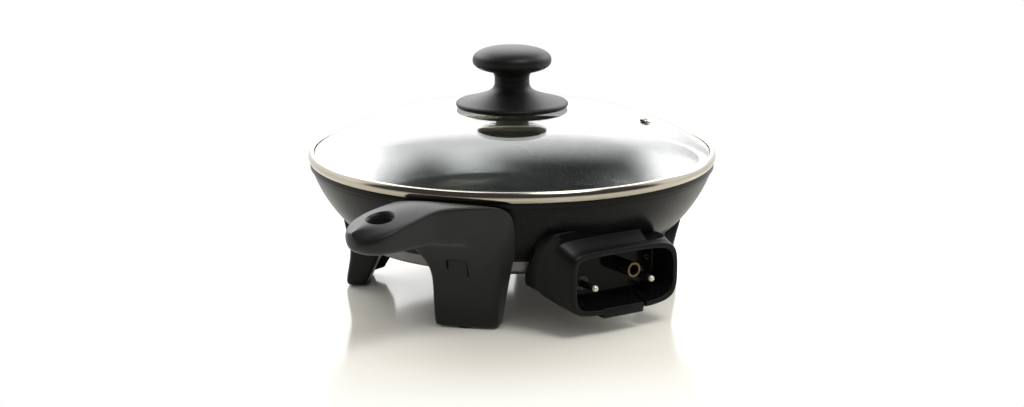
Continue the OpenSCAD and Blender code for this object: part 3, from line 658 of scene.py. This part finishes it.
class SKILLET_OT_heater_base(bpy.types.Operator):
    """Bare casting under the bowl: base ring, element ridge and terminal boss"""
    bl_idname = "skillet.heater_base"
    bl_label = "Heater base"

    def execute(self, context):
        s = sizes()
        base, foot, ring, pin = s.base_r, s.wall_foot, s.ring_z, s.pin_z
        under = s.floor_z - 5.6
        groove = [(ELEMENT_R - GROOVE_R * cos(pi * i / 10), pin + GROOVE_R * sin(pi * i / 10))
                  for i in range(11)]
        ridge_in, ridge_out, ring_in = 72, 84, base - 16
        outline = [(ridge_in, under), (ridge_in, pin, 1)] + groove + [
            (ridge_out, pin, 1), (ridge_out, under - 2, 1), (ring_in, under - 2, 1), (ring_in, ring, 1.5),
            (base, ring, 3), (base, foot - 0.1), (ring_in, foot - 0.1), (ring_in, under)]
        casting = turned("heater_casting", outline, 192)
        carve(casting, block("boss", (-34, -118, pin - 7), (34, -97, foot - 0.1), 2), "UNION")
        smooth(casting)
        hand_over(casting, "base", "heater_base", "cast_aluminium",
                  metal_finish("dull_casting", colours().casting, 0.42, 0.6, lines=False))
        return {"FINISHED"}


class SKILLET_OT_element(bpy.types.Operator):
    """Tubular heating element: an open ring with a bent tail on each side"""
    bl_idname = "skillet.element"
    bl_label = "Heating element"

    def execute(self, context):
        s = sizes()
        pin, side = s.pin_z, s.pin_x
        tail_len = TAIL_Y - PIN_ROOT_Y
        gap = asin((side - 4) / ELEMENT_R)
        element = fresh("heating_tube", bpy.ops.mesh.primitive_circle_add, vertices=24, radius=TUBE_R * MM,
                        location=(ELEMENT_R * MM, 0, pin * MM), rotation=(pi / 2, 0, 0))
        bpy.ops.object.transform_apply()
        place(element, about_z(-pi / 2 + gap))
        with editing():
            bpy.ops.mesh.spin(steps=96, angle=-(2 * pi - 2 * gap), center=(0, 0, 0), axis=(0, 0, 1))
        for x in (-side, side):
            tail = turned("tail", [(0, 0), (TUBE_R, 0), (TUBE_R, tail_len, 0.4), (0, tail_len)], 24)
            place(tail, LAID, (x, TAIL_Y, pin))
            ball = [(4.2 * sin(pi * i / 12), -4.2 * cos(pi * i / 12)) for i in range(13)]
            elbow = turned("elbow", ball, 24)
            place(elbow, None, (x, TAIL_Y + 0.5, pin))
            joined([element, tail, elbow])
        smooth(element, 40)
        hand_over(element, "base", "heating_element", "element_sheath",
                  metal_finish("oxidised_sheath", (0.15, 0.15, 0.15), 0.45, 0.62, lines=False))
        return {"FINISHED"}


class SKILLET_OT_terminals(bpy.types.Operator):
    """Terminal pins in their ceramic insulators, and the probe well between them"""
    bl_idname = "skillet.terminals"
    bl_label = "Terminals"

    def execute(self, context):
        s = sizes()
        pin, side = s.pin_z, s.pin_x
        plating = metal_finish("nickel_plating", colours().plating, 0.16, 0.28, lines=False, metal=0.6)
        # Painted shade: the plated shank of each pin gets a near-black finish, as it lies in shade deep in
        # the hood and reflects the black inside of the hood; only the domed tip keeps the plating.
        shaded_pin_shank = plain_finish("dark_pin_shank", (0.012, 0.011, 0.010), 0.45, 500)
        ceramic = plain_finish("dark_ceramic", (0.020, 0.019, 0.018), 0.35, 500)
        dome = [(2.3 * cos(pi * i / 16), 23.8 + 2.3 * sin(pi * i / 16)) for i in range(9)]
        shank = [(0, 0), (2.0, 0), (2.0, 9.1), (2.3, 9.1, 0.1)]
        pin_piece = turned("pin_model", shank + dome, 48)
        outline = [(2.1, 0), (4.6, 0, 0.5), (4.6, 6), (5.8, 6, 0.3), (5.8, 9, 0.8), (2.1, 9, 0.4)]
        sleeve = turned("sleeve_model", outline, 48)
        for piece in (pin_piece, sleeve):
            smooth(piece)
        for name, x in (("left", -side), ("right", side)):
            shaft = twin(pin_piece, "pin_" + name, LAID, (x, PIN_ROOT_Y, pin))
            hand_over(shaft, "base", "terminal_pin_" + name, "pin_plating", plating, shaded_pin_shank)
            # Painted shade: every face of the pin but its domed tip takes the near-black shank finish.
            second_finish(shaft, lambda middle, _: middle.y > -135.6)
            tube = twin(sleeve, "ceramic_sleeve_" + name, LAID, (x, PIN_ROOT_Y, pin))
            hand_over(tube, "base", "insulator_" + name, "insulator", ceramic)
        for piece in (pin_piece, sleeve):
            bpy.data.objects.remove(piece)
        outline = [(0, 0), (5, 0, 0.6), (5, 37), (5.2, 37.4), (5.2, 39, 0.5), (3.6, 39, 0.4),
                   (3.6, 2, 0.4), (0, 2)]
        well = turned("probe_tube", outline, 64)
        spot = Vector((8, -98, pin + 8.5))
        place(well, LAID, spot)
        smooth(well)
        brass = metal_finish("dull_brass", colours().brass, 0.28, 0.45, lines=False)
        # Painted shade: the side of the brass probe tube gets a near-black finish, as it lies in shade inside
        # the hood; only its lip and its bore keep the brass.
        dark = metal_finish("oxidised_brass", (0.030, 0.026, 0.022), 0.35, 0.5, lines=False, metal=0.5)
        hand_over(well, "base", "probe_well", "brass", dark, brass)
        # Painted shade: brass only on the lip and the bore, while the shaded side of the tube stays near
        # black.
        second_finish(well, lambda middle, _: middle.y < -135.2 or (middle - spot).xz.length < 3.65)
        return {"FINISHED"}


class SKILLET_OT_shroud(bpy.types.Operator):
    """Hood round the pins, with its collar, rolled mouth, catch lip and slit"""
    bl_idname = "skillet.shroud"
    bl_label = "Socket shroud"

    def ring(self, y_top, y_low, f, shrink):
        """Ring of the hood; f goes from 0 at the pan to 1 at the mouth."""
        middle = sizes().pin_z + HOOD_UP
        half = 43 + 4.5 * (1 - f) - shrink
        top = middle + 22 + 12 * (1 - f) - shrink + (2.5 if f < 0.2 else 0)
        low = middle - 22 + 12 * (1 - f) + shrink
        x = -2 - 7.5 * (1 - f)
        return corner_ring([(x - half, -y_top, top), (x + half, -y_top, top), (x + half, -y_low, low),
                            (x - half, -y_low, low)], (0.14, 0.2, 0.24, 0.18))

    def execute(self, context):
        pin = sizes().pin_z
        outside = [
            (118, 92, -0.05, 6), (120, 95, 0, 0), (124, 100, 0.03, 0), (129, 109.6, 0.08, 0),
            (129.8, 110.2, 0.13, 0), (130.6, 111, 0.38, 0), (131.4, 112, 0.43, 0), (134, 120, 0.6, 0),
            (138, 135, 0.88, 0), (140.4, 140, 0.97, 0)]
        mouth = [(141.6, 1, 0.3), (142, 1, 1.1), (142, 1, 2.9), (141.6, 1, 3.7), (140, 0.99, 4)]
        hollow = [(132, 0.82, 4), (122.5, 0.63, 4), (120.7, 0.6, 4.4), (120.5, 0.6, 6), (120.5, 0.6, 12)]
        lines = outside + [(y, y, f, shrink) for y, f, shrink in mouth + hollow]
        hood = drawn("socket_hood", [self.ring(*line) for line in lines])
        rounder(hood)
        carve(hood, block("lip", (-20, -142, pin - 20), (13, -128, pin - 13), 1.4), "UNION")
        carve(hood, pan_space())
        carve(hood, block("boss_space", (-34.3, -118, pin - 7.3), (34.3, -80, 70)))
        carve(hood, block("collar_end", (17, -139.5, pin + 27.4), (70, -80, 110)))
        carve(hood, block("slit", (13, -143, pin - 24), (15, -128, pin - 10)))
        smooth(hood, SOFT_ANGLE)
        satin = moulded_plastic("satin_hood", colours().hood, 0.42, shine=0.22)
        gloss = moulded_plastic("glossy_hood_inside", tint(colours().hood, 0.9), 0.12, 0.02, 0.12)
        hand_over(hood, "base", "socket_shroud", "shroud_plastic", satin, gloss)

        def inside(middle, normal):
            """Whether a face looks into the hollow of the hood."""
            outward = normal.xz.dot(Vector((middle.x + 4, middle.z - pin - HOOD_UP)))
            return (-141.2 < middle.y < -120 and abs(middle.x + 3) < 44
                    and (outward < 0 or normal.y < -0.9))

        second_finish(hood, inside)
        return {"FINISHED"}


class SKILLET_OT_handles(bpy.types.Operator):
    """Swept handles with their legs, one moulding on each side, turned half round"""
    bl_idname = "skillet.handles"
    bl_label = "Handles"

    def execute(self, context):
        s = sizes()
        rings = handle_rings()
        for k, corners in enumerate(leg_stations()):
            rings.append(corner_ring(corners, (0.16, 0.12, 0.16, 0.12), max(2 - k, 0)))
        handle = drawn("left_swept_handle", rings)
        rounder(handle)
        carve(handle, leg_tab(), "UNION")
        carve(handle, pan_space())
        hole, across = along_handle(s.handle_len - 24)
        drill = turned("drill", [(0, -60), (8.3, -60), (8.3, 20), (0, 20)], 64)
        place(drill, None, (hole.x, hole.y, s.rim_z - 3))
        carve(handle, drill)
        flare = turned("flare", [(0, -3.5), (8.4, -3.5)] + bow((8.4, -3.5), (8.8, -0.6), (11.8, 0.3), 8)
                       + [(13.5, 0.6), (14, 20), (0, 20)], 64)
        tilt = Matrix.Rotation(radians(11), 4, across.to_3d())
        place(flare, tilt, (hole.x, hole.y, s.rim_z - 3.4))
        carve(handle, flare)
        lean = Matrix.Rotation(radians(5), 4, "Y")
        pocket = ((0, -7.5, -16), (30, 7.5, 0), 2.2)
        top_groove = ((-4, -6.8, -2.2), (30, 6.8, -0.1), 0.5)
        left_groove = ((-2.5, -7.5, -8), (30, -6.3, -1.5), 0.3)
        right_groove = ((-2.5, 6.3, -13), (30, 7.5, -1.5), 0.3)
        for low, high, edge in (pocket, top_groove, left_groove, right_groove):
            recess = block("recess", low, high, edge)
            place(recess, lean, (s.base_r + 10, -11, 50.2))
            carve(handle, recess)
        hand_over_pair(handle, "right_swept_handle", (LEFT_TURN, RIGHT_TURN), ("left_handle", "right_handle"))
        return {"FINISHED"}


class SKILLET_OT_legs(bpy.types.Operator):
    """Plain legs, rear left and front right"""
    bl_idname = "skillet.legs"
    bl_label = "Plain legs"

    def execute(self, context):
        s = sizes()
        rings = [corner_ring(corners, (0.14, 0.14, 0.14, 0.14)) for corners in plain_leg_stations()]
        leg = drawn("plain_leg_rear_left", rings)
        rounder(leg)
        carve(leg, leg_tab(), "UNION")
        side = [(104, 4.5), (101, 5.2), (93.9, 7.7), (88.2, 17.5), (86, 31), (104, 31)]
        carve(leg, drawn("gusset", [[(x, y, z) for x, z in side] for y in (-16, -8)]), "UNION")
        carve(leg, pan_space())
        hand_over_pair(leg, "plain_leg_front_right", (s.plain_turn, s.plain_turn + pi),
                       ("rear_left_leg", "front_right_leg"))
        return {"FINISHED"}


class SKILLET_OT_feet(bpy.types.Operator):
    """Rubber foot pads under the four legs"""
    bl_idname = "skillet.feet"
    bl_label = "Feet"

    def execute(self, context):
        s = sizes()
        outline = [(0, 0), (6, 0, 0.45), (6, 1.4, 0.45), (2.6, 1.4), (2.6, 7, 0.6), (0, 7)]
        pad = turned("pad_model", outline, 48)
        smooth(pad)
        rubber = plain_finish("black_rubber", (0.018, 0.018, 0.018), 0.72, 900)
        for name, turn, side in (("front_left", LEFT_TURN, -8), ("rear_right", RIGHT_TURN, -8),
                                 ("rear_left", s.plain_turn, 0), ("front_right", s.plain_turn + pi, 0)):
            spot = about_z(turn) @ Vector((s.base_r - 2, side, 0))
            foot = twin(pad, "pad_" + name, about_z(turn), spot)
            hand_over(foot, "base", name + "_foot", "foot_rubber", rubber)
        bpy.data.objects.remove(pad)
        return {"FINISHED"}


class SKILLET_OT_screws(bpy.types.Operator):
    """Small screws of the shroud, the handles and the leg tabs"""
    bl_idname = "skillet.screws"
    bl_label = "Screws"

    def gather(self, name, node, length, places, slot, finish):
        """Slotted pan-head screws of one length at their places, joined into the piece of one node."""
        outline = [(0, -length), (1.2, -length), (1.7, 0.8 - length), (1.7, 0), (3.4, 0, 0.3),
                   (3.4, 2.2, 1.0), (0, 2.2)]
        model = turned("model", outline, 40)
        carve(model, block("slot", (-4, -0.4, 1.1), (4, 0.4, 3)))
        smooth(model)
        copies = [twin(model, name, turn, shift) for turn, shift in places]
        bpy.data.objects.remove(model)
        hand_over(joined(copies), "base", node, slot, finish)

    def execute(self, context):
        s = sizes()
        pin, base, ring = s.pin_z, s.base_r, s.ring_z
        steel = ("screw_steel", screw_steel())
        black = ("black_screw", metal_finish("black_oxide", (0.03, 0.03, 0.03), 0.35, 0.5, lines=False))
        self.gather("hood_screws", "shroud_screws", 9.5,
                    [(LAID, (x, -120.5, pin + 11.5)) for x in (-30, 30)], *black)
        lay_out = Matrix.Rotation(pi / 2, 4, "Y")
        self.gather("recess_screws", "handle_screws", 13,
                    [(about_z(turn) @ lay_out, about_z(turn) @ Vector((base + 4.5, -11, ring + 4.5)))
                     for turn in (RIGHT_TURN, LEFT_TURN)], *steel)
        upside = Matrix.Rotation(pi, 4, "X")
        self.gather("upright_screws", "tab_screws", 15,
                    [(about_z(turn) @ upside, about_z(turn) @ Vector((base - 9, 8, ring - 8)))
                     for turn in (RIGHT_TURN, LEFT_TURN, s.plain_turn, s.plain_turn + pi)], *steel)
        return {"FINISHED"}


class SKILLET_OT_lid(bpy.types.Operator):
    """Glass dome, its steel band and the steam vent"""
    bl_idname = "skillet.lid"
    bl_label = "Lid"

    def execute(self, context):
        s = sizes()
        thick, rim, top = s.glass_t, s.rim_r, s.rim_z
        edge, hole = rim - 1, 5
        vent_far, vent_turn = 94, radians(-39.4)
        steps = [hole + (edge - hole) * i / 48 for i in range(49)]
        upper = [(r, glass_at(r)) for r in steps]
        under = [(r, glass_at(r) - thick) for r in reversed(steps)]
        outline = upper[:-1] + [(*upper[-1], 0.9), (*under[0], 0.9)] + under[1:]
        glass = turned("glass_dome", outline, 192)
        slope = (glass_at(vent_far - 1) - glass_at(vent_far + 1)) / 2
        tilt = about_z(vent_turn) @ Matrix.Rotation(atan(slope), 4, "Y")
        spot = about_z(vent_turn) @ Vector((vent_far, 0, glass_at(vent_far)))
        drill = turned("drill", [(0, -12), (3.1, -12), (3.1, 8), (0, 8)], 40)
        place(drill, tilt, spot)
        carve(glass, drill)
        smooth(glass, 30)
        clear = glass_finish("clear_tempered_glass", colours().glass)
        hand_over(glass, "lid", "lid_glass", "lid_glass", clear)

        band_r, skirt, t = rim + 1, rim - 11, 0.8
        lip = top + 7.2
        outside = round_arc((band_r - 1.2, top), (band_r - 1.4, lip - 0.3), 5.2, 16)
        inside = round_arc((band_r - 1.9, top + t), (band_r - 2.1, lip - 0.3 - t), 4.6, 12)
        outline = [(skirt - t, top - 9, 0.3), (skirt, top - 9, 0.3), (skirt, top, 1.0)] + outside
        outline += [(band_r - 3.7, lip, 0.3), (band_r - 3.7, lip - t, 0.3)] + inside[::-1]
        outline += [(skirt - t, top + t, 1.2)]
        band = turned("steel_band", outline, 256)
        smooth(band, 40)
        hand_over(band, "lid", "lid_band", "band_steel",
                  metal_finish("polished_band_steel", colours().steel, 0.10, 0.20))

        outline = [(1.9, -4.4, 0.3), (3.8, -4.4, 0.3), (3.8, -3.6, 0.2), (2.9, -3.6), (2.9, 0.1),
                   (4.2, 0.1, 0.2), (4.2, 1.6, 0.7), (1.9, 1.6, 0.8)]
        vent = turned("vent_eyelet", outline, 48)
        place(vent, tilt, spot)
        smooth(vent)
        hand_over(vent, "lid", "steam_vent", "vent_steel",
                  metal_finish("vent_eyelet_steel", tint(colours().steel, 0.95), 0.16, 0.30, lines=False))
        return {"FINISHED"}


class SKILLET_OT_knob(bpy.types.Operator):
    """Knob: skirt, cap, insert, gaskets, washer and screw"""
    bl_idname = "skillet.knob"
    bl_label = "Knob"

    def execute(self, context):
        s = sizes()
        guard, cap = s.guard_r, s.cap_r
        foot = glass_at(0) + 1.3
        neck = foot + 18
        satin = moulded_plastic("satin_knob", colours().phenolic, 0.45)
        low = glass_at(guard) + 0.4
        edge = low + 3.8
        outline = [(2.6, foot), (12, foot, 0.5), (13, foot + 2.5, 1), (guard - 7, foot + 1.2),
                   (guard - 3.6, low)]
        outline += bow((guard - 2.4, low), (guard, low), (guard, low + 2.1), 6)
        outline += bow((guard, low + 2.5), (guard - 0.1, edge - 0.2), (guard - 2.6, edge + 0.3), 6)
        outline += bow((guard - 4, edge + 0.6), (24.7, foot + 5.8), (18.7, foot + 8.2), 12)
        outline += bow((17.9, foot + 8.6), (12.6, foot + 10.8), (12.3, foot + 15.2), 12)
        outline += [(12.3, neck - 0.12), (12.2, neck), (2.6, neck)]
        skirt = turned("knob_guard", outline, 160)
        smooth(skirt, 40)
        hand_over(skirt, "lid", "knob_skirt", "knob_plastic", satin)

        def round_cap(a, h):
            """Point of the round of the cap at an angle above or below its widest line."""
            return (cap * cos(radians(a)) ** 0.8, neck + 13.5 + h * sin(radians(a)) ** 0.85)

        outline = [(4.6, neck), (12.2, neck), (12.3, neck + 0.12)]
        outline += bow((12.3, neck + 1.2), (12.5, neck + 4.4), round_cap(62, -8.6), 8)
        outline += [round_cap(a, -8.6) for a in range(58, 0, -4)]
        outline += [round_cap(a, 9.7) for a in range(0, 89, 4)]
        outline += [(0, neck + 23.2), (0, neck + 13.1), (4.6, neck + 13.1)]
        grip = turned("knob_grip", outline, 160)
        smooth(grip, 40)
        hand_over(grip, "lid", "knob_cap", "knob_plastic", satin)

        brass = metal_finish("dull_brass", colours().brass, 0.28, 0.45, lines=False)
        silicone = plain_finish("pale_silicone", (0.55, 0.55, 0.50), 0.5, 400, 0.2)
        steel = screw_steel()
        under_glass = glass_at(0) - s.glass_t
        lower = under_glass - 1.5
        washer = lower - 1.2
        for name, node, slot, finish, outline in (
                ("brass_insert", "knob_insert", "brass", brass,
                 [(2.5, neck), (4.5, neck, 0.4), (4.5, neck + 13, 0.6), (0, neck + 13), (0, neck + 11.5),
                  (2.5, neck + 11.5)]),
                ("upper_gasket", "knob_gasket", "gasket_silicone", silicone,
                 [(2.6, foot - 1.2), (12, foot - 1.2, 0.4), (12, foot, 0.4), (2.6, foot)]),
                ("under_gasket", "lower_gasket", "gasket_silicone", silicone,
                 [(2.6, lower), (11, lower, 0.4), (11, lower + 1.2, 0.4), (2.6, lower + 1.2)]),
                ("steel_washer", "knob_washer", "screw_steel", steel,
                 [(2.6, washer), (10, washer, 0.4), (10, washer + 1.2, 0.3), (2.6, washer + 1.2)]),
                ("knob_bolt", "knob_screw", "screw_steel", steel,
                 [(0, washer - 2.8), (4.56, washer - 2.8, 0.9), (4.56, washer, 0.2), (2.4, washer),
                  (2.4, neck + 9.9, 0.5), (0, neck + 9.9)])):
            piece = turned(name, outline, 64)
            smooth(piece)
            hand_over(piece, "lid", node, slot, finish)
        return {"FINISHED"}


class SKILLET_OT_stage(bpy.types.Operator):
    """Pale table top, soft studio light, white surroundings and the camera"""
    bl_idname = "skillet.stage"
    bl_label = "Stage"

    def table(self):
        """Table top under the feet."""
        table = fresh("table_top", bpy.ops.mesh.primitive_plane_add, size=16)
        with editing():
            bpy.ops.mesh.subdivide(number_cuts=3)
        table.data.materials.append(table_finish("pale_table", colours().floor))

    def lamp(self, name, spot, aim, size, watts):
        """Softbox that fades out towards its edges."""
        lamp = fresh(name, bpy.ops.object.light_add, type="AREA", location=spot, rotation=facing(spot, aim))
        lamp.data.shape = "RECTANGLE"
        lamp.data.size, lamp.data.size_y = size
        lamp.data.energy = watts
        lamp.visible_camera = False
        tree = Tree(lamp.data)
        away = tree.vector("DISTANCE", tree.source("ShaderNodeNewGeometry", "Parametric"), (0.5, 0.5, 0))
        tree.feed(tree.ramp(away, 0.15, 0.5, 1.0, 0.0), tree.nodes["Emission"].inputs["Strength"])

    def surroundings(self):
        """White to the eye and through the glass, soft on the table, and a lit wall behind in reflections."""
        world = bpy.data.worlds.new("studio")
        bpy.context.scene.world = world
        world.cycles.sampling_method = "NONE"
        tree = Tree(world)
        tree.nodes.clear()
        way = tree.source("ShaderNodeTexCoord", "Generated")
        up, back, right = (tree.vector("DOT_PRODUCT", way, along)
                           for along in ((0, 0, 1), VIEW_BACK, VIEW_RIGHT))
        roof = tree.ramp(tree.math("ABSOLUTE", right), 0.25, 0.7, 0.55, 0.95)
        below_roof = tree.ramp(tree.math("SUBTRACT", roof, up), -0.1, 0.1, 0, 1)
        wall = tree.math("MULTIPLY", tree.ramp(back, -0.2, 0.15, 0, 1), below_roof)
        mirrored = tree.ramp(wall, 0, 1, 0.07, 1.2)
        scattered, reflected = (
            tree.math("GREATER_THAN", tree.source("ShaderNodeLightPath", depth), 0.5)
            for depth in ("Diffuse Depth", "Glossy Depth"))
        plain = tree.add("ShaderNodeMix", scattered, 1.0, 0.64)
        level = tree.add("ShaderNodeMix", reflected, plain, mirrored)
        tree.add("ShaderNodeOutputWorld", tree.add("ShaderNodeBackground", (1, 1, 1, 1), level))

    def camera(self):
        """Camera at the viewing angle: 33 degrees to the left of the socket, 12 degrees above the table."""
        aim = Vector((0, 0, 0.093))
        turn, rise, far = radians(-33), radians(12.2), 1.5
        spot = aim + far * Vector((sin(turn) * cos(rise), -cos(turn) * cos(rise), sin(rise)))
        camera = fresh("camera", bpy.ops.object.camera_add, location=spot, rotation=facing(spot, aim))
        camera.data.sensor_width = 36
        camera.data.lens = 74.15
        camera.data.shift_y = -46.5 / 1024
        camera.data.clip_end = 50
        bpy.context.scene.camera = camera

    def execute(self, context):
        self.table()
        self.lamp("key_softbox", (0.117, -0.816, 1.40), (0, 0, 0.07), (0.9, 0.9), 31)
        self.lamp("right_softbox", (1.249, 0.172, 0.80), (0, 0, 0.10), (1.2, 1.2), 20)
        self.lamp("left_softbox", (-0.35, 1.21, 1.03), (0, 0, 0.10), (1.3, 1.3), 17)
        self.lamp("back_softbox", (0.656, 1.406, 1.08), (0, 0, 0.10), (3.2, 2.4), 62)
        self.surroundings()
        self.camera()
        context.scene.view_settings.view_transform = "Standard"
        return {"FINISHED"}


class SKILLET_PT_panel(bpy.types.Panel):
    """Buttons and values of the skillet"""
    bl_label = "Electric Skillet"
    bl_idname = "SKILLET_PT_panel"
    bl_space_type = "VIEW_3D"
    bl_region_type = "UI"
    bl_category = "Skillet"

    def draw(self, context):
        for operator in operators:
            self.layout.operator(operator.bl_idname)
        for group in (context.scene.skillet_sizes, context.scene.skillet_colours):
            box = self.layout.box()
            for key in group.bl_rna.properties.keys():
                if key not in ("rna_type", "name"):
                    box.prop(group, key)


operators = (SKILLET_OT_pan, SKILLET_OT_heater_base, SKILLET_OT_element, SKILLET_OT_terminals,
             SKILLET_OT_shroud, SKILLET_OT_handles, SKILLET_OT_legs, SKILLET_OT_feet, SKILLET_OT_screws,
             SKILLET_OT_lid, SKILLET_OT_knob, SKILLET_OT_stage)
classes = (SkilletSizes, SkilletColours, *operators, SKILLET_PT_panel)


def register():
    """Register the classes and the values of the scene."""
    for entry in classes:
        bpy.utils.register_class(entry)
    bpy.types.Scene.skillet_sizes = PointerProperty(type=SkilletSizes)
    bpy.types.Scene.skillet_colours = PointerProperty(type=SkilletColours)


def unregister():
    """Take the values and the classes away again."""
    del bpy.types.Scene.skillet_colours
    del bpy.types.Scene.skillet_sizes
    for entry in reversed(classes):
        bpy.utils.unregister_class(entry)


def main():
    register()
    bpy.ops.skillet.stage()
    bpy.ops.skillet.pan()
    bpy.ops.skillet.heater_base()
    bpy.ops.skillet.element()
    bpy.ops.skillet.terminals()
    bpy.ops.skillet.shroud()
    bpy.ops.skillet.handles()
    bpy.ops.skillet.legs()
    bpy.ops.skillet.feet()
    bpy.ops.skillet.screws()
    bpy.ops.skillet.lid()
    bpy.ops.skillet.knob()
    clear_selection()


if __name__ == "__main__":
    main()
